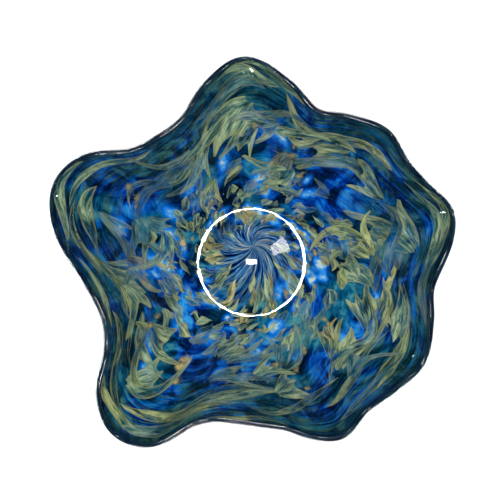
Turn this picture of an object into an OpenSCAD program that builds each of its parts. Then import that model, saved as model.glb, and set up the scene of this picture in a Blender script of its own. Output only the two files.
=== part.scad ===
// Ruffled art glass bowl, blown in layers and opened out hot so that its rim
// falls into waves.
//
// The wall is built up as a glassblower gathers it. From the inside out it has
// a clear lining, a scatter of olive shards, a transparent blue overlay, a
// scatter of opal frit and a clear casing, and a dark thread is wrapped round
// the lip. Every layer is the same ruffled surface at a different depth in the
// wall, so each one is drawn from the one grid of points below.
//
// The origin is the centre of the flat ground foot that the bowl rests on, and
// +Z is up.

/* [Floor] */
// Radius of the valley where the floor turns up into the wall
floor_r = 58; // [54:1:62]
// Height of the inside of the bowl in that valley
floor_z = 9; // [8:0.5:12]
// Rise of the middle of the floor above the valley
floor_crown = 2; // [0:0.5:3]
// Radius of the flat ground foot that the bowl rests on
foot_r = 46; // [40:1:50]

/* [Wall] */
// Size of the rim's outline, where 1 is 400 mm across
rim_size = 1; // [0.9:0.01:1.1]
// Height of the rim where it is drawn in furthest
fold_z = 126; // [100:1:140]
// Drop of the rim for each millimetre that it flares out
rim_drop = 0.45; // [0.2:0.05:0.6]
// Slope of the wall at the lip where it is drawn in furthest, in degrees
fold_slope = 74; // [60:1:80]
// Loss of that slope for each millimetre that the rim flares out
slope_drop = 0.42; // [0.2:0.02:0.5]
// Thickness of the wall at the floor's valley
valley_wall = 6.4; // [5.5:0.1:7]
// Thickness of the wall halfway up
side_wall = 5; // [4:0.1:6]
// Thickness of the wall at the lip
lip_wall = 3.8; // [3:0.1:4.5]

/* [Colour] */
// Number of olive shards
shard_count = 84; // [20:1:110]
// Number of opal frit grains
frit_count = 60; // [20:1:90]

/* [Lip] */
// How far the wrap stands proud of each face of the wall
wrap_proud = 0.3; // [0.1:0.1:0.5]
// How far the wrap rises above the cut edge of the wall
wrap_rise = 2.2; // [1.5:0.1:3]

/* [Hidden] */

// The rim's outline as [angle, radius] at the outside of the lip: seven crests
// with a fold between each pair, and points on the flanks that set how steeply
// the rim turns in.
rim = [
    [13, 207], [24, 191.5], [33, 184.5],                // crest, flank, fold
    [44, 188], [55, 176], [67, 164], [79, 185],
    [92, 204.5], [104, 184], [115, 158.5], [127, 154.5], [138, 164.5], [148, 198.5],
    [158, 212], [170, 198.5], [184, 168], [200, 155], [212, 169.5], [221, 202.5],
    [231, 220], [241, 208], [250, 168.5], [261, 156], [281, 165], [290, 184],
    [298, 195], [308, 185.5], [319, 190.5],
    [330, 198], [342, 188], [353, 181]
];
lip_overhang = 3;             // the lip's outside stands this far past the inside face
fold_r = (min([for (p = rim) p[1]]) - lip_overhang) * rim_size;

columns = 84;                 // grid columns round the bowl
floor_rows = [14, 30, foot_r, floor_r];
wall_rows = 9;                // grid rows from the valley to the lip
rows = len(floor_rows) + wall_rows;
valley_row = len(floor_rows);

valley_reach = 18;            // how softly the wall leaves the valley
lip_reach = 52;               // how long the wall runs straight at the lip
golden_angle = 137.508;       // spreads a scatter evenly

// Depths in the wall, as shares of its thickness from the inside. The gaps
// keep each layer a solid of its own where the real ones are fused.
lining_depth = [0, 0.25];
shard_depth = [0.35, 0.40];
overlay_depth = [0.47, 0.59];
frit_depth = [0.655, 0.69];
casing_depth = [0.75, 1];
wrap_seat = 0.15;             // the same gap between the wall and the lip wrap

function unit(v) = v / norm(v);
function ease(t) = t * t * (3 - 2 * t);
// A repeatable number from 0 to 1 for item n of a scatter.
function chance(n, salt) =
    let (v = sin(n * 127.1 + salt * 311.7) * 437.5) v - floor(v);

// ---- The rim ----
function rim_angle(k) =
    rim[(k + len(rim)) % len(rim)][0] + 360 * floor(k / len(rim));
function rim_reach(k) = (rim[(k + len(rim)) % len(rim)][1] - lip_overhang) * rim_size;
function rim_turn(k) =
    (rim_reach(k + 1) - rim_reach(k - 1)) / (rim_angle(k + 1) - rim_angle(k - 1));
function rim_radius(angle) =
    let (
        k = len([for (p = rim) if (p[0] <= angle) 1]) - 1,
        span = rim_angle(k + 1) - rim_angle(k),
        u = (angle - rim_angle(k)) / span
    )
    (2 * u^3 - 3 * u^2 + 1) * rim_reach(k) + (3 * u^2 - 2 * u^3) * rim_reach(k + 1)
    + span * ((u^3 - 2 * u^2 + u) * rim_turn(k) + (u^3 - u^2) * rim_turn(k + 1));

// ---- The inside face ----
function floor_height(r) =
    let (t = r / floor_r) floor_z + floor_crown * (1 - t * t)^2;

// The wall's meridian is one cubic curve, from a level start in the valley to
// the slope that the lip has at this angle.
function meridian(lip_r, t) =
    let (
        flare = lip_r - fold_r,
        slope = fold_slope - slope_drop * flare,
        start = [floor_r, floor_z],
        lip = [lip_r, fold_z - rim_drop * flare],
        leave = start + [valley_reach, 0],
        arrive = lip - lip_reach * [cos(slope), sin(slope)],
        s = 1 - t
    )
    s^3 * start + 3 * s^2 * t * leave + 3 * s * t^2 * arrive + t^3 * lip;

function wall_point(angle, t) =
    let (p = meridian(rim_radius((angle + 360) % 360), t))
    [p[0] * cos(angle), p[0] * sin(angle), p[1]];

// ---- The outside face ----
function underside(r) =
    r <= foot_r ? 0
    : (floor_z - valley_wall) * ((r - foot_r) / (floor_r - foot_r))^2;

function wall_normal(angle, t) =
    let (
        step = 0.02,
        up = wall_point(angle, min(1, t + step)) - wall_point(angle, max(0, t - step)),
        round = wall_point(angle + 1, t) - wall_point(angle - 1, t)
    )
    unit(cross(up, round));

function wall_thickness(t) =
    t < 0.35 ? valley_wall + (side_wall - valley_wall) * ease(t / 0.35)
    : side_wall + (lip_wall - side_wall) * ease((t - 0.35) / 0.65);

// ---- The grid: each entry holds the inside and the outside point ----
function floor_pair(angle, r) =
    let (x = r * cos(angle), y = r * sin(angle))
    [[x, y, floor_height(r)], [x, y, underside(r)]];
function wall_pair(angle, t) =
    let (inside = wall_point(angle, t))
    [inside, inside - wall_thickness(t) * wall_normal(angle, t)];

grid = [
    for (i = [0:columns - 1])
        let (angle = 360 * i / columns)
        concat(
            [floor_pair(angle, 0)],
            [for (r = floor_rows) floor_pair(angle, r)],
            [for (j = [1:wall_rows]) wall_pair(angle, j / wall_rows)]
        )
];

function at_depth(pair, depth) = pair[0] * (1 - depth) + pair[1] * depth;

// A point between grid lines, where u counts columns and v counts rows. Each
// cell is the two triangles on either side of its diagonal from [0, 0].
function between(u, v, depth) =
    let (
        i = floor(u), j = min(floor(v), rows - 1), a = u - i, b = v - j,
        here = grid[(i + columns) % columns], next = grid[(i + 1 + columns) % columns],
        start = at_depth(here[j], depth), far = at_depth(next[j + 1], depth)
    )
    a > b ? start + (a - b) * (at_depth(next[j], depth) - start) + b * (far - start)
    : start + (b - a) * (at_depth(here[j + 1], depth) - start) + a * (far - start);

// ---- Layers ----
// A shell of the whole wall between two depths. Its faces meet at the lip.
module layer(depth) {
    face_points = 1 + rows * columns;
    function corner(face, j, i) =
        face * face_points + (j == 0 ? 0 : 1 + (j - 1) * columns + i % columns);
    points = [
        for (d = depth)
            each concat(
                [at_depth(grid[0][0], d)],
                [for (j = [1:rows], i = [0:columns - 1]) at_depth(grid[i][j], d)]
            )
    ];
    // The two triangles of the quad a, b, c, d, split along a to c.
    function halves(a, b, c, d) = [[a, b, c], [a, c, d]];
    inside = [
        for (j = [0:rows - 1], i = [0:columns - 1])
            each j == 0 ? [[0, corner(0, 1, i + 1), corner(0, 1, i)]]
            : halves(corner(0, j, i), corner(0, j, i + 1),
                     corner(0, j + 1, i + 1), corner(0, j + 1, i))
    ];
    outside = [
        for (j = [0:rows - 1], i = [0:columns - 1])
            each j == 0 ? [[face_points, corner(1, 1, i), corner(1, 1, i + 1)]]
            : halves(corner(1, j, i), corner(1, j + 1, i),
                     corner(1, j + 1, i + 1), corner(1, j, i + 1))
    ];
    edge = [
        for (i = [0:columns - 1])
            each halves(corner(0, rows, i), corner(0, rows, i + 1),
                        corner(1, rows, i + 1), corner(1, rows, i))
    ];
    polyhedron(points, concat(inside, outside, edge));
}

// ---- Chips in the wall ----
row_length = 19;              // mean length of a grid row up the wall, in mm

// One chip: a leaf with two pointed ends, laid in the wall between two depths.
// It is centred at u columns and v rows, and turned from level by turn degrees.
module chip(u, v, length, width, turn, depth) {
    centre = between(u, v, 0);
    column_length = 2 * PI * norm([centre[0], centre[1]]) / columns;
    // The ribs across the leaf, as shares of half its length and half its width.
    ribs = [[-0.7, 0.55], [-0.25, 0.95], [0.25, 0.95], [0.7, 0.55]];
    leaf = concat([[-1, 0]], [for (r = ribs) each [[r[0], r[1]], [r[0], 0], [r[0], -r[1]]]],
                  [[1, 0]]);
    function place(p, d) =
        let (x = p[0] * length / 2, y = p[1] * width / 2)
        between(
            u + (x * cos(turn) - y * sin(turn)) / column_length,
            v + (x * sin(turn) + y * cos(turn)) / row_length,
            d
        );
    n = len(leaf);
    head = n - 1;
    points = [for (d = depth, p = leaf) place(p, d)];
    // Triangles of the face on the outside: the two tips, then between the ribs.
    face = concat(
        [[0, 1, 2], [0, 2, 3], [head, head - 2, head - 3], [head, head - 1, head - 2]],
        [
            for (k = [0:len(ribs) - 2], side = [0, 1])
                let (a = 1 + 3 * k + side)
                each [[a, a + 3, a + 4], [a, a + 4, a + 1]]
        ]
    );
    left = [for (k = [0:len(ribs) - 1]) 1 + 3 * k];
    border = concat([0], left, [head], [for (k = [len(ribs) - 1:-1:0]) left[k] + 2]);
    rim_faces = [
        for (k = [0:len(border) - 1])
            let (p = border[k], q = border[(k + 1) % len(border)])
            each [[p, q, q + n], [p, q + n, p + n]]
    ];
    polyhedron(points, concat(
        [for (f = face) [f[2], f[1], f[0]]],
        [for (f = face) f + [n, n, n]],
        rim_faces
    ));
}

// Places chips evenly from the foot of the wall to just under the lip. They
// lie along the swirl at the floor and level with the rim at the lip.
module scatter(count, spin, length, width, depth) {
    for (n = [0:count - 1]) {
        climb = ((n + 0.5) / count)^0.7;
        jitter = chance(n, spin) - 0.5;
        chip(
            u = (((n + spin) * golden_angle) % 360) / 360 * columns,
            v = valley_row + 1.3 + (wall_rows - 2.3) * climb,
            length = length[0] + (length[1] - length[0]) * climb,
            width = width[0] + (width[1] - width[0]) * climb,
            turn = 65 - 55 * climb + 40 * jitter,
            depth = depth
        );
    }
}

// ---- The lip ----
// A D-shaped thread, with its flat side on the cut edge of the wall.
module lip_thread() {
    arc_steps = 5;
    function section(i) =
        let (
            pair = grid[i][rows],
            across = unit(pair[1] - pair[0]),
            along = unit(cross(across, grid[(i + 1) % columns][rows][0]
                                       - grid[(i + columns - 1) % columns][rows][0])),
            middle = (pair[0] + pair[1]) / 2,
            half = norm(pair[1] - pair[0]) / 2 + wrap_proud
        )
        [
            for (k = [0:arc_steps])
                let (a = 180 * k / arc_steps)
                middle - half * cos(a) * across
                + (wrap_seat + wrap_rise * sin(a)) * along
        ];
    n = arc_steps + 1;
    points = [for (i = [0:columns - 1]) each section(i)];
    faces = [
        for (i = [0:columns - 1], k = [0:n - 1])
            let (j = (i + 1) % columns, m = (k + 1) % n)
            each [[i * n + k, j * n + k, j * n + m], [i * n + k, j * n + m, i * n + m]]
    ];
    polyhedron(points, faces);
}

// ---- Sub-parts, from the inside of the wall to the outside ----
module clear_lining() {
    color([0.75, 0.88, 0.92, 0.35]) layer(lining_depth);
}

module olive_shards() {
    color([0.52, 0.58, 0.38])
        scatter(shard_count, 0, [11, 18], [4, 9], shard_depth);
}

module blue_overlay() {
    color([0.02, 0.20, 0.52]) layer(overlay_depth);
}

module opal_frit() {
    color([0.80, 0.78, 0.62])
        scatter(frit_count, 0.5, [7, 16], [4, 6], frit_depth);
}

module clear_casing() {
    color([0.80, 0.90, 0.94, 0.35]) layer(casing_depth);
}

module lip_wrap() {
    color([0.05, 0.07, 0.14]) lip_thread();
}

clear_lining();
olive_shards();
blue_overlay();
opal_frit();
clear_casing();
lip_wrap();
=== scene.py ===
import math

import bpy
import numpy as np
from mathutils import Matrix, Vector


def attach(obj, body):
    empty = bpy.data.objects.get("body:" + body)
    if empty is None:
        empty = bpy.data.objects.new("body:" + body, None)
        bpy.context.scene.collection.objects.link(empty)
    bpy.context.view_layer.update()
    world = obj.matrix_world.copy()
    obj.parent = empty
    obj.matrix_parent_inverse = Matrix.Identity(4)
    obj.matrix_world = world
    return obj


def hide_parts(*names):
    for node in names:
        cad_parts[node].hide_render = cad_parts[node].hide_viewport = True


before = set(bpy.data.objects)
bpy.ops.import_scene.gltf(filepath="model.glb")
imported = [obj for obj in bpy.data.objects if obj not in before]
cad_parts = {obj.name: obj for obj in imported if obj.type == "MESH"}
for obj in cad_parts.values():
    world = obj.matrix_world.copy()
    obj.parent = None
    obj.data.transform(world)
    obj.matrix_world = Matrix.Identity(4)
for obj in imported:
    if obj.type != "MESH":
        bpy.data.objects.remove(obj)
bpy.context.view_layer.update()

# ---- Clear lining ----
# The last clear gather, now the inside of the bowl. It is soda-lime glass,
# fire-polished in the reheating furnace. Every other layer is fused to its
# back, so the form of the whole wall is worked out here.

# The rim's outline as angle and radius: seven crests, the folds between them,
# and points on the flanks.
RIM = (
    (13, 207), (24, 191.5), (33, 184.5),
    (44, 188), (55, 176), (67, 164), (79, 185),
    (92, 204.5), (104, 184), (115, 158.5), (127, 154.5), (138, 164.5), (148, 198.5),
    (158, 212), (170, 198.5), (184, 168), (200, 155), (212, 169.5), (221, 202.5),
    (231, 220), (241, 208), (250, 168.5), (261, 156), (281, 165), (290, 184),
    (298, 195), (308, 185.5), (319, 190.5),
    (330, 198), (342, 188), (353, 181),
)
LIP_OVERHANG = 3               # the lip's outside stands this far past the inside face
FOLD_Z, RIM_DROP = 126, 0.45   # height of the lip at a fold, and its loss for each mm of flare
FOLD_SLOPE, SLOPE_DROP = 74, 0.42   # slope of the wall there in degrees, and its loss
FLOOR_R, FLOOR_Z, FLOOR_CROWN = 58, 9, 2
VALLEY_R, SAG = 53.5, 0.005    # the lowest ring of the inside, and how soft it is
VALLEY_END = 12                # the valley's softness is gone this far up the wall
FOOT_R = 46
WALL_RUN = 150                 # reach of the wall along itself, from valley to lip
LOW_PULL, LIP_PULL = 18, 52    # how strongly the wall keeps its direction at each end
LIP = FLOOR_R + WALL_RUN       # reach from the pole of the swirl to the lip
POLE = (2, 17)                 # the swirl's pole, off the centre of the floor
VALLEY_WALL, SIDE_WALL, LIP_WALL = 6.4, 5, 3.8   # how thick the glass is
SIDE = 0.35                    # share of the way up where it is SIDE_WALL thick

rim_angles = np.radians([p[0] for p in RIM])
rim_radii = np.array([p[1] for p in RIM], float) - LIP_OVERHANG
fold_r = rim_radii.min()


def rim_radius(theta):
    """Radius of the lip's inside edge, on a smooth curve through RIM."""
    turn = 2 * math.pi
    a = np.concatenate([rim_angles[-2:] - turn, rim_angles, rim_angles[:3] + turn])
    r = np.concatenate([rim_radii[-2:], rim_radii, rim_radii[:3]])
    slope = np.gradient(r, a)
    slope[1:-1] = (r[2:] - r[:-2]) / (a[2:] - a[:-2])
    theta = np.mod(theta, turn)
    k = np.searchsorted(a, theta, side="right") - 1
    span = a[k + 1] - a[k]
    u = (theta - a[k]) / span
    return ((2 * u**3 - 3 * u**2 + 1) * r[k] + (3 * u**2 - 2 * u**3) * r[k + 1]
            + span * ((u**3 - 2 * u**2 + u) * slope[k] + (u**3 - u**2) * slope[k + 1]))


def ease(share):
    """A share from 0 to 1, with a soft start and end."""
    share = np.clip(share, 0, 1)
    return share**2 * (3 - 2 * share)


def inside(theta, reach):
    """Point on the inside face, at an angle and a reach from the swirl's pole."""
    lean = np.clip(1 - (reach / FLOOR_R) ** 2, 0, 1) ** 2
    fx = reach * np.cos(theta) + POLE[0] * lean
    fy = reach * np.sin(theta) + POLE[1] * lean
    fz = FLOOR_Z + FLOOR_CROWN * np.clip(1 - (fx**2 + fy**2) / VALLEY_R**2, 0, 1) ** 2
    fz = fz + SAG * np.maximum(np.hypot(fx, fy) - VALLEY_R, 0) ** 2

    # The wall is one curve from the valley to the lip, level at its start.
    t = np.clip((reach - FLOOR_R) / WALL_RUN, 0, 1)
    s = 1 - t
    lip_r = rim_radius(theta)
    flare = lip_r - fold_r
    slope = np.radians(FOLD_SLOPE - SLOPE_DROP * flare)
    lip_z = FOLD_Z - RIM_DROP * flare
    wr = (s**3 * FLOOR_R + 3 * s**2 * t * (FLOOR_R + LOW_PULL)
          + 3 * s * t**2 * (lip_r - LIP_PULL * np.cos(slope)) + t**3 * lip_r)
    wz = ((s**3 + 3 * s**2 * t) * FLOOR_Z
          + 3 * s * t**2 * (lip_z - LIP_PULL * np.sin(slope)) + t**3 * lip_z)
    # The valley between floor and wall is a soft one, as hot glass sags.
    wz = wz + SAG * (wr - VALLEY_R) ** 2 * (1 - ease((wr - FLOOR_R) / VALLEY_END))
    wall = reach > FLOOR_R
    return np.stack([np.where(wall, wr * np.cos(theta), fx),
                     np.where(wall, wr * np.sin(theta), fy),
                     np.where(wall, wz, fz)], -1)


def wall_normal(theta, reach):
    """Unit normal of the inside face, towards the inside of the bowl."""
    half_mm, half_turn = 0.5, 0.004
    up = (inside(theta, np.minimum(reach + half_mm, LIP))
          - inside(theta, np.clip(reach - half_mm, FLOOR_R, LIP)))
    along = inside(theta + half_turn, reach) - inside(theta - half_turn, reach)
    n = np.cross(up, along)
    return n / np.linalg.norm(n, axis=-1, keepdims=True)


def in_wall(theta, reach, depth):
    """Point in the wall, where depth runs from 0 inside to 1 outside."""
    theta, reach = np.broadcast_arrays(np.asarray(theta, float), np.asarray(reach, float))
    near = inside(theta, reach)
    t = np.clip((reach - FLOOR_R) / WALL_RUN, 0, 1)
    thick = (VALLEY_WALL - (VALLEY_WALL - SIDE_WALL) * ease(t / SIDE)
             - (SIDE_WALL - LIP_WALL) * ease((t - SIDE) / (1 - SIDE)))
    far = near - thick[..., None] * wall_normal(theta, np.maximum(reach, FLOOR_R))
    # Under the floor the outside is the flat foot, and it rises past its edge.
    r = np.hypot(near[..., 0], near[..., 1])
    rise = (FLOOR_Z - VALLEY_WALL) * np.clip((r - FOOT_R) / (FLOOR_R - FOOT_R), 0, 1) ** 2
    under = np.stack([near[..., 0], near[..., 1], rise], -1)
    far = np.where((reach > FLOOR_R)[..., None], far, under)
    depth = np.asarray(depth, float)[..., None] if np.ndim(depth) else depth
    return near * (1 - depth) + far * depth


POLE_TWIST, TWIST_RUN = 1.1, 28   # twist at the pole in radians, and the reach it dies over
WALL_DRAG = 0.000085              # how fast the streaks lie back as they climb the wall
CLIMB, CLIMB_GAIN = 0.03, 0.0004  # units for each mm of reach, and their gain up the wall


def flow(theta, reach):
    """Coordinates that run with the glass: rays at the pole, and streaks that
    lie back towards the rim as they climb the wall."""
    spin = theta + POLE_TWIST * (1 - np.exp(-reach / TWIST_RUN)) + WALL_DRAG * reach**2
    return np.stack([np.cos(spin), np.sin(spin), CLIMB * reach + CLIMB_GAIN * reach**2], -1)


MM = 0.001
COLUMNS = 400
# Rows of points from the pole to the lip, close together across the valley.
ROWS = np.concatenate([
    np.linspace(1.5, 48, 17), np.arange(49, 70, 0.75), np.linspace(70.5, LIP, 50)])
# The tool's ripple, as three waves: how many go round, radians for each mm of
# reach, phase, and height. It starts at the edge of the floor.
WAVES = ((3, 0.12, 0, 1), (7, -0.30, 1, 0.5), (16, 0.90, 2.6, 0.35))
CALM, RIPPLE_RUN = 40, 20


def store(mesh, **values):
    """Stores values on the points of a mesh, for its material to read."""
    for name, value in values.items():
        value = np.asarray(value, np.float32)
        kind, key = ("FLOAT", "value") if value.ndim == 1 else ("FLOAT_VECTOR", "vector")
        mesh.attributes.new(name, kind, "POINT").data.foreach_set(key, value.ravel())


def write_flow(mesh, theta, reach):
    """Stores the glass's own coordinates on a mesh."""
    store(mesh, flow=flow(theta, reach), reach=reach / LIP)


def new_piece(name, points, faces):
    """A smooth mesh in the scene, from points in millimetres."""
    mesh = bpy.data.meshes.new(name)
    mesh.from_pydata((np.asarray(points) * MM).tolist(), [], faces)
    mesh.polygons.foreach_set("use_smooth", [True] * len(faces))
    piece = bpy.data.objects.new(name, mesh)
    bpy.context.scene.collection.objects.link(piece)
    return piece


def layer(name, depth, ripple=0.0):
    """A shell of the whole wall between two depths, closed at the lip. Its
    material slots are its inside face, its outside face and its edge."""
    theta = np.arange(COLUMNS) * 2 * math.pi / COLUMNS
    theta, reach = np.meshgrid(theta, ROWS)
    wave = sum(height * np.sin(turns * theta + climb * reach + phase)
               for turns, climb, phase, height in WAVES)
    swell = np.clip((reach - CALM) / RIPPLE_RUN, 0, 1) * wave
    count = 1 + theta.size
    i = np.arange(COLUMNS)
    j = (i + 1) % COLUMNS
    rows = np.arange(len(ROWS) - 1)[:, None] * COLUMNS + 1
    quads = np.stack([rows + i, rows + COLUMNS + i, rows + COLUMNS + j, rows + j], -1)
    fan = np.stack([np.zeros_like(i), i + 1, j + 1], -1)
    points, faces, side = [], [], []
    for k, d in enumerate(depth):
        sheet = in_wall(theta, reach, d)
        if d == 0:
            sheet[..., 2] += ripple * swell
        points += [in_wall(np.zeros(1), np.zeros(1), d), sheet.reshape(-1, 3)]
        step = 1 if k == 0 else -1
        new = ((fan[:, ::step] + k * count).tolist()
               + (quads.reshape(-1, 4)[:, ::step] + k * count).tolist())
        faces += new
        side += [k] * len(new)
    last = 1 + (len(ROWS) - 1) * COLUMNS
    edge = np.stack([last + i, last + j, last + count + j, last + count + i], -1).tolist()
    side += [2] * len(edge)
    piece = new_piece(name, np.concatenate(points), faces + edge)
    piece.data.polygons.foreach_set("use_smooth", [s < 2 for s in side])
    piece.data.polygons.foreach_set("material_index", side)
    where = [np.tile(np.append(0, grid.ravel()), 2) for grid in (theta, reach)]
    write_flow(piece.data, *where)
    return piece, where


def linear(code):
    """An sRGB hex colour as linear RGBA."""
    parts = [int(code[i:i + 2], 16) / 255 for i in (1, 3, 5)]
    return [p / 12.92 if p <= 0.04045 else ((p + 0.055) / 1.055) ** 2.4
            for p in parts] + [1]


def add(tree, kind, inputs=None, ramp=None, **settings):
    """Adds a node, with its settings, its colour stops and its input values or links."""
    node = tree.nodes.new("ShaderNode" + kind)
    for key, value in settings.items():
        setattr(node, key, value)
    if ramp:
        stops = node.color_ramp.elements
        while len(stops) < len(ramp):
            stops.new(0.5)
        for stop, (place, shade) in zip(stops, ramp):
            stop.position = place
            stop.color = linear(shade) if isinstance(shade, str) else [shade] * 3 + [1]
    for key, value in (inputs or {}).items():
        if isinstance(value, bpy.types.NodeSocket):
            tree.links.new(value, node.inputs[key])
        else:
            node.inputs[key].default_value = value
    return node


def material(name):
    """An empty material and its node tree."""
    made = bpy.data.materials.new(name)
    made.use_nodes = True
    made.node_tree.nodes.clear()
    return made, made.node_tree


def clear_skin(name, tint):
    """Fire-polished soda-lime glass, IOR 1.5: it shows the colours behind it
    and mirrors the lamps by Fresnel. It is thin, so it doesn't bend the view."""
    made, tree = material(name)
    through = add(tree, "BsdfTransparent", {"Color": linear(tint)})
    mirror = add(tree, "BsdfGlossy", {"Roughness": 0.03})
    share = add(tree, "Fresnel", {"IOR": 1.5})
    mix = add(tree, "MixShader", {0: share.outputs[0], 1: through.outputs[0], 2: mirror.outputs[0]})
    add(tree, "OutputMaterial", {"Surface": mix.outputs[0]})
    return made


def fused_face():
    """The back of a clear layer, fused to the next one: nothing shows there."""
    made, tree = material("fused_clear_face")
    through = add(tree, "BsdfTransparent", {"Color": linear("#ffffff")})
    add(tree, "OutputMaterial", {"Surface": through.outputs[0]})
    return made


lining, _ = layer("clear_lining_skin", (0, 0.25), ripple=0.018)
fused = fused_face()
for skin in (clear_skin("fire_polished_lining", "#f6fbfc"), fused, fused):
    lining.data.materials.append(skin)
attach(lining, "root")
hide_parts("clear_lining")

# ---- Opal frit ----
# Grains of opal and amber glass, rolled on between the overlay and the
# casing. From the inside they glow through the cobalt as soft spots, which are
# a painted glow in the overlay's colour, so they come before it here.
PALE, AMBER = 64, 84                # number of grains of each kind
GRAINS = PALE + AMBER
GOLDEN = math.radians(137.508)      # turn from one grain to the next, for an even scatter
FIRST_GRAIN, GRAIN_RUN = 42, 112    # reach of the innermost grain, and of the rest past it
GRAIN_WIDE, GRAIN_HIGH = 0.7, 0.4   # its half width and half height, for each mm of its size
GRAIN_RING = 10
# A grain from its inside to its outside: share of its size, and depth in the wall.
GRAIN_PROFILE = ((0.0, 0.61), (0.7, 0.62), (1.0, 0.64), (0.7, 0.66), (0.0, 0.67))

rng = np.random.default_rng(11)
grain_amber = np.arange(GRAINS) >= PALE
# The powers under 1 put more of them higher up, where the wall is wider.
grain_reach = FIRST_GRAIN + GRAIN_RUN * np.concatenate(
    [rng.random(PALE) ** 0.85, rng.random(AMBER) ** 0.9])
grain_theta = (np.arange(GRAINS) * GOLDEN + 0.5 * rng.normal(size=GRAINS)) % (2 * math.pi)
grain_size = np.where(grain_amber, 2 + 2.4 * rng.random(GRAINS), 4.6 + 5 * rng.random(GRAINS))
grain_lean = np.radians(rng.normal(38, 22, GRAINS))


def grains():
    """Every grain as a flattened drop, all in one mesh."""
    turn = np.linspace(0, 2 * math.pi, GRAIN_RING, endpoint=False)
    verts, faces, tones = [], [], []
    for n in range(GRAINS):
        wobble = 1 + 0.25 * rng.random(GRAIN_RING)
        x, y, _ = inside(grain_theta[n:n + 1], grain_reach[n:n + 1])[0]
        radius = max(10.0, math.hypot(x, y))
        top = len(verts)
        for share, depth in GRAIN_PROFILE:
            size = share * wobble * grain_size[n]
            theta = grain_theta[n] + size * np.cos(turn) * GRAIN_WIDE / radius
            reach = grain_reach[n] + size * np.sin(turn) * GRAIN_HIGH
            points = in_wall(theta, reach, depth)
            verts.extend(points if share else points[:1])
        bottom = len(verts) - 1
        for k in range(GRAIN_RING):
            a, b = top + 1 + k, top + 1 + (k + 1) % GRAIN_RING
            faces.append([top, a, b])
            for _ in range(2):
                faces.append([a, a + GRAIN_RING, b + GRAIN_RING, b])
                a, b = a + GRAIN_RING, b + GRAIN_RING
            faces.append([a, bottom, b])
        tones += [grain_amber[n]] * (bottom + 1 - top)
    piece = new_piece("opal_grains", verts, faces)
    store(piece.data, tone=tones)
    return piece


def opal_glass():
    """Opal glass, cream or amber, melted smooth by the casing: milky, so it
    looks solid, with denser clouds 3 mm across."""
    made, tree = material("opal_and_amber_frit")
    tone = add(tree, "Attribute", attribute_name="tone").outputs["Fac"]
    place = add(tree, "TexCoord").outputs["Object"]
    cloud = add(tree, "TexNoise", {"Vector": place, "Scale": 300, "Detail": 3}).outputs[0]
    cream = add(tree, "ValToRGB", {0: cloud}, ramp=(
        (0.35, "#8fb0cf"), (0.55, "#dcd8bc"), (0.7, "#efe9d2"))).outputs[0]
    amber = add(tree, "ValToRGB", {0: cloud}, ramp=(
        (0.35, "#7a4d22"), (0.55, "#b98238"), (0.7, "#d9b46a"))).outputs[0]
    colour = add(tree, "Mix", {0: tone, 6: cream, 7: amber}, data_type="RGBA").outputs[2]
    body = add(tree, "BsdfPrincipled", {"Base Color": colour, "Roughness": 0.35})
    add(tree, "OutputMaterial", {"Surface": body.outputs[0]})
    return made


frit = grains()
frit.data.materials.append(opal_glass())
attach(frit, "root")
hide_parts("opal_frit")

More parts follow.
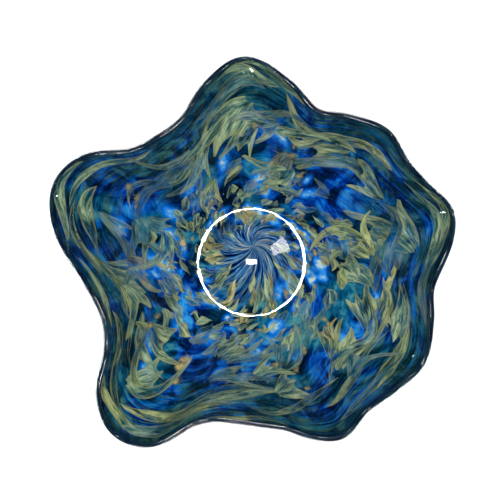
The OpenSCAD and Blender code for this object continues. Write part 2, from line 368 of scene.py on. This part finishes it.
# ---- Blue overlay ----
# A thin gather of transparent cobalt glass over the lining, shading to teal.
# It carries the colour of the whole bowl.
def body_colour():
    """Node group: the overlay's colour, from the glass's own coordinates."""
    group = bpy.data.node_groups.new("cobalt_and_teal_glass", "ShaderNodeTree")
    group.interface.new_socket("Color", in_out="OUTPUT", socket_type="NodeSocketColor")
    run = add(group, "Attribute", attribute_name="flow").outputs["Vector"]
    reach = add(group, "Attribute", attribute_name="reach").outputs["Fac"]
    place = add(group, "TexCoord").outputs["Object"]

    # Clouds in the glass, as scale for each metre, detail, roughness and
    # distortion: how thick the gather is, its hue, and a mottle on the grains.
    clouds = []
    for scale, detail, rough, twist in (
        (26, 4, 0.58, 2.0),    # 38 mm across
        (17, 2, 0.50, 0.6),    # 59 mm
        (170, 3, 0.60, 0.0),   # 6 mm
    ):
        clouds.append(add(group, "TexNoise", {
            "Vector": place, "Scale": scale, "Detail": detail,
            "Roughness": rough, "Distortion": twist}).outputs[0])
    cloud, hue, mottle = clouds

    # Streaks that run with the glass, as a shift and a stretch of the flow's
    # coordinates, detail, roughness and distortion. Their size is given round
    # the bowl and up it, halfway up the wall.
    streaks = []
    for shift, stretch, detail, rough, twist in (
        ((0, 0, 0), (4.5, 4.5, 0.9), 3, 0.50, 1.1),   # smears, 27 by 8 mm
        ((4, 7, 2), (8, 8, 0.8), 4, 0.65, 0.8),       # veils, 15 by 9 mm
        ((0, 0, 0), (19, 19, 1.5), 3, 0.60, 0.2),     # threads, 6 by 5 mm
        ((0, 0, 0), (12, 12, 0.5), 3, 0.55, 0.0),     # rays, 2 by 40 mm near the pole
    ):
        laid = add(group, "Mapping", {"Vector": run, "Location": shift,
                                      "Scale": stretch}).outputs[0]
        streaks.append(add(group, "TexNoise", {
            "Vector": laid, "Scale": 1.0, "Detail": detail,
            "Roughness": rough, "Distortion": twist}).outputs[0])
    smear, veil, thread, ray = streaks

    # The gather's depth: clouds on the floor, drawn into smears towards the rim.
    drawn = add(group, "MapRange", {"Value": reach, "From Min": 0.45, "From Max": 1.0,
                                    "To Max": 0.7}).outputs[0]
    depth = add(group, "Mix", {0: drawn, 2: cloud, 3: smear}).outputs[0]
    cobalts = add(group, "ValToRGB", {0: depth}, ramp=(
        (0.36, "#010a20"), (0.44, "#021d50"), (0.50, "#033ea6"), (0.56, "#0a78e0"),
        (0.66, "#44b4f4"))).outputs[0]
    teals = add(group, "ValToRGB", {0: depth}, ramp=(
        (0.36, "#010f1e"), (0.44, "#032b42"), (0.50, "#07526e"), (0.56, "#13748a"),
        (0.66, "#62aa9a"))).outputs[0]
    # The cobalt turns to teal on the floor, and again towards the rim.
    more = add(group, "ValToRGB", {0: reach}, ramp=(
        (0.32, 0.055), (0.42, 0.0), (0.50, 0.0), (0.90, 0.09))).outputs[0]
    greener = add(group, "Math", {0: hue, 1: more}).outputs[0]

    # Veils of the olive that lie deeper than the shards, blurred by the cobalt.
    veil_share = add(group, "ValToRGB", {0: reach}, ramp=(
        (0.30, 0.45), (0.40, 0.09), (0.58, 0.135), (0.85, 0.9))).outputs[0]
    lit = add(group, "MapRange", {"Value": cloud, "From Min": 0.44, "From Max": 0.56}).outputs[0]
    veils = add(group, "Mix", {0: lit, 6: linear("#0e3c3e"), 7: linear("#4c7a64")},
                data_type="RGBA").outputs[2]

    # On the floor the threads are rays from the pole of the swirl.
    rays = add(group, "ValToRGB", {0: ray}, ramp=(
        (0.39, "#01082a"), (0.44, "#053480"), (0.475, "#1c7cc8"), (0.51, "#9cd0e8"),
        (0.53, "#02143c"), (0.57, "#0a4a9c"), (0.61, "#a0ac80"), (0.67, "#ecead0"))).outputs[0]

    # The grains behind, as a painted glow: a bright blue halo, then the pale or amber glass itself.
    glows = []
    for name, low, high, most, ramp in (
        ("pale_glow", 0.0, 0.7, 1.2, (
            (0.0, "#0450c4"), (0.45, "#0c80ec"), (0.75, "#5cb4ec"), (1.0, "#e6eedc"))),
        ("amber_glow", 0.25, 0.65, 1.3, (
            (0.2, "#6f8460"), (0.55, "#b09858"), (0.9, "#e0c07c"))),
    ):
        light = add(group, "Attribute", attribute_name=name).outputs["Fac"]
        uneven = add(group, "MapRange", {"Value": mottle, "From Min": low, "From Max": high,
                                         "To Max": most}).outputs[0]
        strength = add(group, "Math", {0: light, 1: uneven}, operation="MULTIPLY").outputs[0]
        glows += [strength, add(group, "ValToRGB", {0: strength}, ramp=ramp).outputs[0]]
    pale, halo, warm, amber = glows

    # The colours lie over each other in this order: what a colour follows, the
    # values from which and to which it comes in, the most of it, and its shade.
    ground = cobalts
    for value, low, high, most, shade in (
        (greener, 0.49, 0.60, 0.85, teals),
        # Painted shade: darker up the steep wall towards the rim, where it is seen more edge-on.
        (reach, 0.62, 0.92, 0.3, linear("#021a30")),
        (veil, 0.47, 0.58, veil_share, veils),
        (thread, 0.44, 0.34, 0.5, linear("#010c26")),
        (thread, 0.60, 0.72, 0.2, linear("#4aa4d8")),
        (reach, 0.24, 0.12, 1.0, rays),
        (pale, 0.04, 0.5, 1.0, halo),
        (warm, 0.15, 0.6, 0.9, amber),
        # Edge-on at the lip, the depth of the colour makes it nearly black: painted shade, set into
        # the colour itself.
        (reach, 0.94, 0.99, 0.85, linear("#020a1c")),
    ):
        share = add(group, "MapRange", {"Value": value, "From Min": low, "From Max": high,
                                        "To Max": most}).outputs[0]
        ground = add(group, "Mix", {0: share, 6: ground, 7: shade}, data_type="RGBA").outputs[2]
    out = group.nodes.new("NodeGroupOutput")
    group.links.new(ground, out.inputs[0])
    return group


BODY_COLOUR = body_colour()
GLOW_LONG, GLOW_WIDE = 1.25, 0.7   # a grain's glow, for each mm of its size


def glow(theta, reach, pick):
    """Painted glow: the light that the picked grains send through the glass, at each point."""
    radius = np.maximum(np.hypot(*inside(theta, reach).T[:2]), 4)
    total = np.zeros(len(theta))
    for n in np.flatnonzero(pick):
        away = np.mod(theta - grain_theta[n] + math.pi, 2 * math.pi) - math.pi
        arc, climb = away * radius, reach - grain_reach[n]
        along = arc * math.cos(grain_lean[n]) - climb * math.sin(grain_lean[n])
        across = arc * math.sin(grain_lean[n]) + climb * math.cos(grain_lean[n])
        size = grain_size[n]
        total += np.exp(-(along / (GLOW_LONG * size)) ** 2 - (across / (GLOW_WIDE * size)) ** 2)
    return np.clip(total, 0, 1)


def write_glow(mesh, theta, reach):
    """Stores on a mesh how strongly the grains behind it show through, for a painted glow."""
    store(mesh, pale_glow=glow(theta, reach, ~grain_amber),
          amber_glow=glow(theta, reach, grain_amber))


def cobalt_glass():
    """Transparent cobalt glass seen against its own depth: deep colour, with a
    painted glow for the little light carried through the wall."""
    made, tree = material("cobalt_overlay_glass")
    colour = add(tree, "Group", node_tree=BODY_COLOUR).outputs[0]
    body = add(tree, "BsdfPrincipled", {"Base Color": colour, "Roughness": 0.35,
                                        "Specular IOR Level": 0})
    add(tree, "OutputMaterial", {"Surface": body.outputs[0]})
    return made


overlay, overlay_where = layer("cobalt_overlay", (0.46, 0.58))
write_glow(overlay.data, *overlay_where)
cobalt = cobalt_glass()
for _ in range(3):
    overlay.data.materials.append(cobalt)
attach(overlay, "root")
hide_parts("blue_overlay")

# ---- Olive shards ----
# Shards of a blown olive bubble, picked up on the hot gather and drawn out
# with it: petals on the floor, leaves above it, torn wings with long tips
# where the wall was opened, and thin streaks along the rim.

SHARD_DEPTH = (0.27, 0.42)            # where in the wall the shards lie
SHARD_THICK, SHARD_DOME = 0.02, 0.02  # a shard's edge and its dome, as shares of the wall
LEAF_GRID = (18, 7)                   # points along a leaf and across it
WING_GRID = (16, 19)                  # points out along a wing and round it
NEAR_POLE, NEAR_LIP = 3, 1.5          # shards keep this far from both ends of the wall
LEAST_RADIUS = 8                      # a shard nearer to the pole isn't fanned out further


def leaf_shape(rng, length, width, bend):
    """A leaf on a grid: its points, how far in from its edge, and its grain."""
    fat = 1.0 + 0.8 * rng.random()   # how near its blunt end it is widest
    thinnest = 0.04
    u, v = np.meshgrid(np.linspace(0, 1, LEAF_GRID[0]), np.linspace(-1, 1, LEAF_GRID[1]),
                       indexing="ij")
    long_waver = 0.15 * np.sin(u * 9 + 6 * rng.random() + v)
    short_waver = 0.08 * np.sin(u * 23 + 6 * rng.random())
    half = width / 2 * np.sin(math.pi * u**fat) ** 0.8 * (1 + long_waver + short_waver)
    bow = bend * rng.normal() * length * ((2 * u - 1) ** 2 - 0.3)
    twist = 0.05 * length * rng.normal() * np.sin(u * math.pi * 2)
    x = (0.5 - u) * length
    across = v * np.maximum(half, thinnest)
    edge = (1 - np.abs(v)) * np.clip(6 * u * (1 - u), 0, 1)
    return x, bow + twist + across, edge, np.stack([x, across], -1)


def wing_shape(rng, length, width, bend):
    """A torn web between drawn-out tips, on a grid fanned from its blunt end.
    Its width is a share of its fan, and what is measured out is a share of its
    length."""
    # Each tip: its place round the wing, its height and its width.
    tips = [(0.05, 0.35 + 0.25 * rng.random(), 0.20),
            (0.95, 0.05 + 0.35 * rng.random(), 0.16)]
    if rng.random() < 0.5:
        tips.append((0.35 + 0.3 * rng.random(), 0.05 + 0.3 * rng.random(), 0.12))
    u, s = np.meshgrid(np.linspace(0, 1, WING_GRID[0]), np.linspace(0, 1, WING_GRID[1]),
                       indexing="ij")
    fan = math.radians(50 + 45 * rng.random()) * width
    torn = 0.40 + 0.12 * rng.random() + 0.05 * np.sin(9 * s + 6 * rng.random())
    for place, height, narrow in tips:
        torn = torn + height * np.exp(-np.abs((s - place) / narrow) ** 1.5)
    blunt = 0.08 + 0.06 * rng.random() + 0.03 * np.sin(7 * s + 6 * rng.random())
    out = blunt + (np.maximum(torn, blunt + 0.06) - blunt) * u
    sweep = bend * rng.normal() * out**1.5
    waver = 0.10 * np.sin(out * 5 + 6 * rng.random())
    turn = sweep + waver - s * fan * (1 - 0.35 * out)
    x, y = length * (out * np.cos(turn) - 0.45), length * out * np.sin(turn)
    edge = np.minimum(np.minimum(s, 1 - s) * 4.0, np.minimum(1 - u, 0.25 + u) * 1.6)
    return x, y, np.clip(edge, 0, 1), length * np.stack([out, s * fan * 0.35], -1)


def closed_faces(rows, cols):
    """Faces of a grid, of its copy underneath, and of the border between them."""
    cell = rows * cols
    index = np.arange(cell).reshape(rows, cols)
    k = index[:-1, :-1].ravel()
    face = np.stack([k, k + cols, k + cols + 1, k + 1], -1)
    loop = np.concatenate([index[0], index[1:, -1], index[-1, -2::-1], index[-2:0:-1, 0]])
    border = np.stack([loop, np.roll(loop, -1), np.roll(loop, -1) + cell, loop + cell], -1)
    return np.concatenate([face, face[:, ::-1] + cell, border])


def lay_on_wall(x, y, tilt, turn, middle):
    """Angles and reaches of a shard's points, once it is tilted and laid on the wall."""
    arc = x * math.cos(tilt) - y * math.sin(tilt)
    climb = x * math.sin(tilt) + y * math.cos(tilt)
    reach = np.clip(middle + climb, NEAR_POLE, LIP - NEAR_LIP)
    radius = reach
    if middle >= FLOOR_R:
        radius = np.hypot(*np.moveaxis(inside(np.full_like(reach, turn), reach), -1, 0)[:2])
    radius = np.maximum(radius, LEAST_RADIUS)
    # Half of it goes by the shard's mean radius, so that it fans out less.
    return turn + arc / (0.5 * radius + 0.5 * max(LEAST_RADIUS, radius.mean())), reach


def shard_band(seed, name, shape, count, span, length, width, lean, scatter,
               foot_size, bend, tones, veils):
    """One band of shards as one mesh, each a closed solid laid in the wall."""
    rng = np.random.default_rng(seed)
    verts, faces, marks = [], [], []
    start = 0
    for n in range(count):
        share = (n + rng.random()) / count
        middle = span[0] + (span[1] - span[0]) * share
        turn = (n * GOLDEN + 0.4 * rng.normal()) % (2 * math.pi)
        grow = foot_size + (1 - foot_size) * share
        long = (length[0] + (length[1] - length[0]) * rng.random()) * grow
        wide = width[0] + (width[1] - width[0]) * rng.random()
        if shape is leaf_shape:
            wide = wide * grow
        x, y, edge, grain = shape(rng, long, wide, bend)
        tilt = -math.radians(lean[0] + (lean[1] - lean[0]) * share + scatter * rng.normal())
        theta, reach = lay_on_wall(x, y, tilt, turn, middle)
        depth = SHARD_DEPTH[0] + (SHARD_DEPTH[1] - SHARD_DEPTH[0]) * rng.random()
        tone = tones[0] + (tones[1] - tones[0]) * rng.random()
        veil, pick = veils * rng.random(), rng.random()
        solid = closed_faces(*x.shape)
        # Leaves and wings fan opposite ways, so each is turned to face inwards.
        if shape is wing_shape:
            solid = solid[:, ::-1]
        faces.append(solid + start)
        start += 2 * x.size
        verts += [in_wall(theta, reach, depth - SHARD_DOME * edge).reshape(-1, 3),
                  in_wall(theta, reach, np.full_like(reach, depth + SHARD_THICK)).reshape(-1, 3)]
        # The third part of the grain's coordinates gives each shard its own pattern.
        own = [theta, reach, edge, grain[..., 0], grain[..., 1], np.full_like(x, pick * 300),
               np.full_like(x, tone), np.full_like(x, veil)]
        marks += 2 * [np.stack(own, -1).reshape(-1, len(own))]
    piece = new_piece("olive_" + name, np.concatenate(verts), np.concatenate(faces).tolist())
    marks = np.concatenate(marks)
    theta, reach, edge, tone, veil = marks[:, [0, 1, 2, 6, 7]].T
    write_flow(piece.data, theta, reach)
    write_glow(piece.data, theta, reach)
    store(piece.data, grain=marks[:, 3:6], edge=edge, tone=tone, veil=veil)
    return piece


def olive_glass():
    """Streaky olive glass, semi-opaque: dense at its drawn edges, and thin in
    the middle, where the cobalt shows through it."""
    made, tree = material("streaky_olive_glass")
    under = add(tree, "Group", node_tree=BODY_COLOUR).outputs[0]
    own = add(tree, "Attribute", attribute_name="grain").outputs["Vector"]
    edge = add(tree, "Attribute", attribute_name="edge").outputs["Fac"]
    tone = add(tree, "Attribute", attribute_name="tone").outputs["Fac"]
    veil = add(tree, "Attribute", attribute_name="veil").outputs["Fac"]

    # Streaks along the shard, as scale for each mm along it and across it,
    # detail, roughness and distortion.
    streaks = []
    for stretch, detail, rough, twist in (
        ((0.035, 0.14, 1), 4, 0.62, 0.7),   # grain, 29 by 7 mm
        ((0.06, 0.6, 1), 2, 0.50, 0.0),     # threads, 17 by 1.7 mm
        ((0.10, 1.5, 1), 2, 0.70, 0.4),     # veins, 10 by 0.7 mm
    ):
        laid = add(tree, "Mapping", {"Vector": own, "Scale": stretch}).outputs[0]
        streaks.append(add(tree, "TexNoise", {
            "Vector": laid, "Scale": 1.0, "Detail": detail,
            "Roughness": rough, "Distortion": twist}).outputs[0])
    grain, thread, vein = streaks
    kinds = []
    for shades in (
        ("#20382c", "#5d7050", "#98a472", "#dcdc9c"),   # olive
        ("#123c3c", "#44726a", "#86a68a", "#ccdab0"),   # sage
        ("#3c3f28", "#7d7142", "#b8a468", "#f2e2a8"),   # amber
    ):
        ramp = tuple(zip((0.36, 0.44, 0.52, 0.62), shades))
        kinds.append(add(tree, "ValToRGB", {0: grain}, ramp=ramp).outputs[0])
    olive, sage, amber = kinds

    # The shard's own colours, laid over each other as in the overlay.
    kind = olive
    for value, low, high, most, shade in (
        (tone, 0.20, 0.45, 1.0, sage),
        (tone, 0.91, 0.95, 1.0, amber),
        (thread, 0.47, 0.36, 0.75, linear("#123c40")),
        (vein, 0.46, 0.40, 0.65, linear("#163c3c")),
        (vein, 0.56, 0.64, 0.6, linear("#dcdca4")),
        (edge, 0.40, 0.08, 0.5, linear("#c2c084")),
        (veil, 0.5, 1.0, 0.6, linear("#0a5c80")),
    ):
        share = add(tree, "MapRange", {"Value": value, "From Min": low, "From Max": high,
                                       "To Max": most}).outputs[0]
        kind = add(tree, "Mix", {0: share, 6: kind, 7: shade}, data_type="RGBA").outputs[2]

    # It is as dense as the densest of its grain, its threads and its drawn edge.
    solid = 0.0
    for value, low, high, least, most in (
        (grain, 0.36, 0.48, 0.30, 1.0),
        (thread, 0.52, 0.62, 0.0, 0.9),
        (edge, 0.40, 0.08, 0.0, 1.0),
    ):
        dense = add(tree, "MapRange", {"Value": value, "From Min": low, "From Max": high,
                                       "To Min": least, "To Max": most}).outputs[0]
        solid = add(tree, "Math", {0: solid, 1: dense}, operation="MAXIMUM").outputs[0]
    # The deeper a shard lies, the softer it shows.
    soft = add(tree, "MapRange", {"Value": veil, "To Min": 0.98, "To Max": 0.62}).outputs[0]
    share = add(tree, "Math", {0: solid, 1: soft}, operation="MULTIPLY").outputs[0]
    colour = add(tree, "Mix", {0: share, 6: under, 7: kind}, data_type="RGBA").outputs[2]
    glass = add(tree, "BsdfPrincipled", {"Base Color": colour, "Roughness": 0.4,
                                         "Specular IOR Level": 0})
    add(tree, "OutputMaterial", {"Surface": glass.outputs[0]})
    return made


# Each band: the reach its shards lie between, their length and width, their
# lean from level at the band's foot and its top with the scatter of it, and
# their size at the foot as a share of that at the top. Tones run from olive
# through sage to amber, and veils is the most that the blue softens a shard.
BANDS = (
    dict(name="petals", shape=leaf_shape, count=80, span=(30, 64), length=(17, 30),
         width=(6, 10.5), lean=(86, 60), scatter=8, foot_size=0.65, bend=0.12,
         tones=(0.1, 1.3), veils=0.4),
    dict(name="leaves", shape=leaf_shape, count=104, span=(66, 116), length=(17, 30),
         width=(7, 12), lean=(56, 28), scatter=16, foot_size=0.65, bend=0.12,
         tones=(0, 1), veils=1),
    dict(name="flakes", shape=wing_shape, count=22, span=(82, 130), length=(26, 42),
         width=(0.8, 1.1), lean=(36, 24), scatter=18, foot_size=0.65, bend=0.35,
         tones=(0, 1), veils=1),
    dict(name="wings", shape=wing_shape, count=44, span=(106, 174), length=(50, 88),
         width=(0.65, 1.0), lean=(20, 10), scatter=9, foot_size=0.65, bend=0.35,
         tones=(0, 1), veils=1),
    dict(name="streaks", shape=leaf_shape, count=46, span=(142, 203), length=(55, 115),
         width=(7, 14), lean=(10, 1), scatter=3, foot_size=1, bend=0.04,
         tones=(0, 1), veils=1),
)
FIRST_SEED = 40

olive = olive_glass()
for n, band in enumerate(BANDS):
    shards = shard_band(FIRST_SEED + n, **band)
    shards.data.materials.append(olive)
    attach(shards, "root")
    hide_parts("olive_shards")

# ---- Clear casing ----
# The clear gather over the colours, which is the outside of the bowl. It is
# soda-lime glass like the lining. Its foot is ground and polished flat where
# the pontil was.
casing, _ = layer("clear_casing_skin", (0.75, 1))
for skin in (fused, clear_skin("fire_polished_casing", "#f2f9fb"), fused):
    casing.data.materials.append(skin)
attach(casing, "root")
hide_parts("clear_casing")

# ---- Lip wrap ----
# A thread of very dark blue glass, trailed hot round the lip and melted in.
# It stands a little proud of both faces of the wall.
PROUD, RISE, SINK, SEAT = 0.3, 2.2, 0.9, 0.15   # past the faces, above, below, off the edge
THREAD_STEPS = 20                               # points round the thread


def lip_thread():
    """The thread, as a rounded section carried round the lip."""
    theta = np.arange(COLUMNS) * 2 * math.pi / COLUMNS
    reach = np.full(COLUMNS, float(LIP))
    near, far = in_wall(theta, reach, 0.0), in_wall(theta, reach, 1.0)
    across = far - near
    wide = np.linalg.norm(across, axis=-1, keepdims=True)
    across /= wide
    tangent = np.roll(near, -1, 0) - np.roll(near, 1, 0)
    along = np.cross(across, tangent)
    along /= np.linalg.norm(along, axis=-1, keepdims=True)
    middle = (near + far) / 2
    half = wide / 2 + PROUD
    loops = []
    for k in range(THREAD_STEPS):
        a = 2 * math.pi * k / THREAD_STEPS
        rise = math.sin(a) * (RISE if math.sin(a) > 0 else SINK)
        loops.append(middle - half * math.cos(a) * across + (SEAT + rise) * along)
    i = np.arange(COLUMNS)[:, None] * THREAD_STEPS
    j = (np.arange(COLUMNS)[:, None] + 1) % COLUMNS * THREAD_STEPS
    k = np.arange(THREAD_STEPS)
    m = (k + 1) % THREAD_STEPS
    faces = np.stack([i + k, j + k, j + m, i + m], -1).reshape(-1, 4)
    piece = new_piece("lip_thread", np.stack(loops, 1).reshape(-1, 3), faces.tolist())
    outward = (1 - np.cos(2 * math.pi * k / THREAD_STEPS)) / 2
    store(piece.data, outward=np.tile(outward, COLUMNS))
    return piece


def midnight_glass():
    """Fire-polished very dark glass, painted almost black round the outside of
    the lip as a painted shade for its dark edge, and thinning to teal where it has melted into the
    wall."""
    made, tree = material("fire_polished_midnight_glass")
    place = add(tree, "TexCoord").outputs["Object"]
    outward = add(tree, "Attribute", attribute_name="outward").outputs["Fac"]
    # Clouds 17 mm across.
    cloud = add(tree, "TexNoise", {"Vector": place, "Scale": 60, "Detail": 3}).outputs[0]
    thin = add(tree, "ValToRGB", {0: cloud}, ramp=(
        (0.35, "#030d1c"), (0.5, "#06182c"), (0.65, "#122c36"))).outputs[0]
    # Painted shade: the outside of the thread's section is painted almost black for the dark edge
    # of the lip.
    edge_shade = add(tree, "MapRange", {"Value": outward, "From Min": 0.30, "From Max": 0.75}).outputs[0]
    colour = add(tree, "Mix", {0: edge_shade, 6: thin, 7: linear("#020305")},
                 data_type="RGBA").outputs[2]
    # The outside of the thread faces the white table. It has no mirror there,
    # which would turn the dark line grey.
    shine = add(tree, "MapRange", {"Value": outward, "From Min": 0.72, "From Max": 0.86,
                                   "To Min": 0.5, "To Max": 0.0}).outputs[0]
    body = add(tree, "BsdfPrincipled", {"Base Color": colour, "Roughness": 0.08, "IOR": 1.5,
                                        "Specular IOR Level": shine})
    add(tree, "OutputMaterial", {"Surface": body.outputs[0]})
    return made


thread = lip_thread()
thread.data.materials.append(midnight_glass())
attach(thread, "root")
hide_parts("lip_wrap")

# ---- Studio ----
# A white table under even light, with a narrow strip lamp beside the camera.
# The low lamps all round only light the lip: the walls hide them from the
# inside of the bowl.
TABLE_POINTS, TABLE_HALF, TABLE_DROP = 24, 3000, 0.2
LAMP_Z, LOW_R, LOW_Z = 1.6, 1.9, 0.12   # metres, as the lamps and the camera are


def table():
    """The table top, a hair below the foot."""
    line = np.linspace(-TABLE_HALF, TABLE_HALF, TABLE_POINTS)
    x, y = np.meshgrid(line, line)
    points = np.stack([x, y, np.full_like(x, -TABLE_DROP)], -1).reshape(-1, 3)
    index = np.arange(x.size).reshape(x.shape)
    faces = np.stack([index[:-1, :-1], index[:-1, 1:], index[1:, 1:], index[1:, :-1]], -1)
    return new_piece("table", points, faces.reshape(-1, 4).tolist())


def white_laminate():
    """Matt white melamine laminate: an even white without a highlight."""
    made, tree = material("matt_white_laminate")
    body = add(tree, "BsdfPrincipled", {"Base Color": linear("#fbfbfb"), "Roughness": 0.9,
                                        "Specular IOR Level": 0.0})
    add(tree, "OutputMaterial", {"Surface": body.outputs[0]})
    return made


floor = table()
floor.data.materials.append(white_laminate())

world = bpy.data.worlds.new("studio")
bpy.context.scene.world = world
world.use_nodes = True
world.node_tree.nodes["Background"].inputs["Color"].default_value = linear("#ffffff")
world.node_tree.nodes["Background"].inputs["Strength"].default_value = 1.6
world.cycles_visibility.glossy = False


def lamp(name, place, size, power, diffuse=True):
    """A soft box that faces the bowl. Without diffuse it shows only as a reflection."""
    light = bpy.data.lights.new(name, "AREA")
    light.shape = "RECTANGLE"
    light.size, light.size_y = size
    light.energy = power
    made = bpy.data.objects.new(name, light)
    bpy.context.scene.collection.objects.link(made)
    made.location = place
    towards = Vector((0, 0, 0.05)) - made.location
    made.rotation_euler = towards.to_track_quat("-Z", "Y").to_euler()
    made.visible_diffuse = diffuse


lamp("strip", (0.0, -0.012, LAMP_Z), (0.115, 0.055), 3.6)
lamp("small_fill", (0.220, 0.102, LAMP_Z), (0.10, 0.04), 0.21)
for n in range(6):
    turn = math.radians(60 * n + 20)
    place = (LOW_R * math.cos(turn), LOW_R * math.sin(turn), LOW_Z)
    lamp("low_%d" % n, place, (1.5, 0.06), 95, diffuse=False)

# The camera looks straight down on the bowl.
camera_data = bpy.data.cameras.new("camera")
camera_data.sensor_width = 36
camera_data.lens = 87
camera = bpy.data.objects.new("camera", camera_data)
bpy.context.scene.collection.objects.link(camera)
camera.location = (-0.0015, 0.013, 1.3)
bpy.context.scene.camera = camera
bpy.context.scene.view_settings.view_transform = "Standard"
